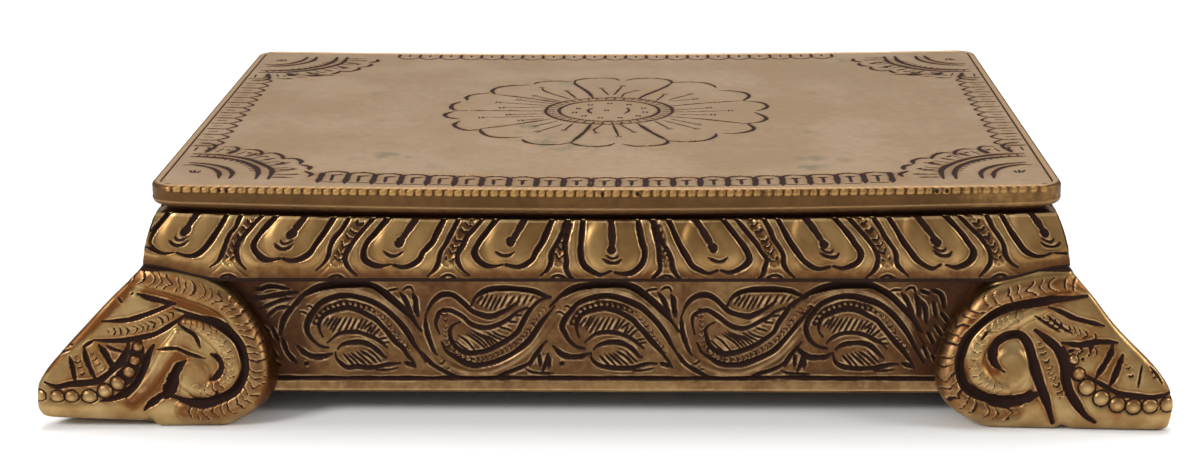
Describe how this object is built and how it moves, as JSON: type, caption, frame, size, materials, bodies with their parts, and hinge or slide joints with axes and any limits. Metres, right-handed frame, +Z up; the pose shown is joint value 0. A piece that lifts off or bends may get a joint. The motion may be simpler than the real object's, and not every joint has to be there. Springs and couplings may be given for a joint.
{
  "type": "bajot low table",
  "caption": "Low rectangular brass table: thick engraved top, lotus petal frieze, vine scroll skirt and flared scroll feet.",
  "frame": {"origin": "on the floor under the middle of the top plate", "axes": "+X along the long side to the right, the front face looks along -Y, +Z up"},
  "size_m": [0.3072, 0.2028, 0.066],
  "materials": {
    "top_brass": "aged satin brass, dark wax in the engraving",
    "frieze_brass": "polished ridges over dark waxed grooves",
    "skirt_brass": "polished ridges over dark waxed grooves",
    "foot_brass": "polished ridges over dark waxed grooves",
    "bracket_brass": "raw cast brass",
    "screw_brass": "plain turned brass"
  },
  "bodies": {
    "root": {"top_plate": "top_brass", "lotus_frieze_front": "frieze_brass", "scroll_skirt_front": "skirt_brass", "lotus_frieze_back": "frieze_brass", "scroll_skirt_back": "skirt_brass", "lotus_frieze_left": "frieze_brass", "scroll_skirt_left": "skirt_brass", "lotus_frieze_right": "frieze_brass", "scroll_skirt_right": "skirt_brass", "foot_front_left": "foot_brass", "corner_bracket_front_left": "bracket_brass", "foot_front_right": "foot_brass", "corner_bracket_front_right": "bracket_brass", "foot_back_left": "foot_brass", "corner_bracket_back_left": "bracket_brass", "foot_back_right": "foot_brass", "corner_bracket_back_right": "bracket_brass", "top_plate_screws": "screw_brass", "frieze_screws": "screw_brass", "foot_screws": "screw_brass"}
  },
  "joints": []
}
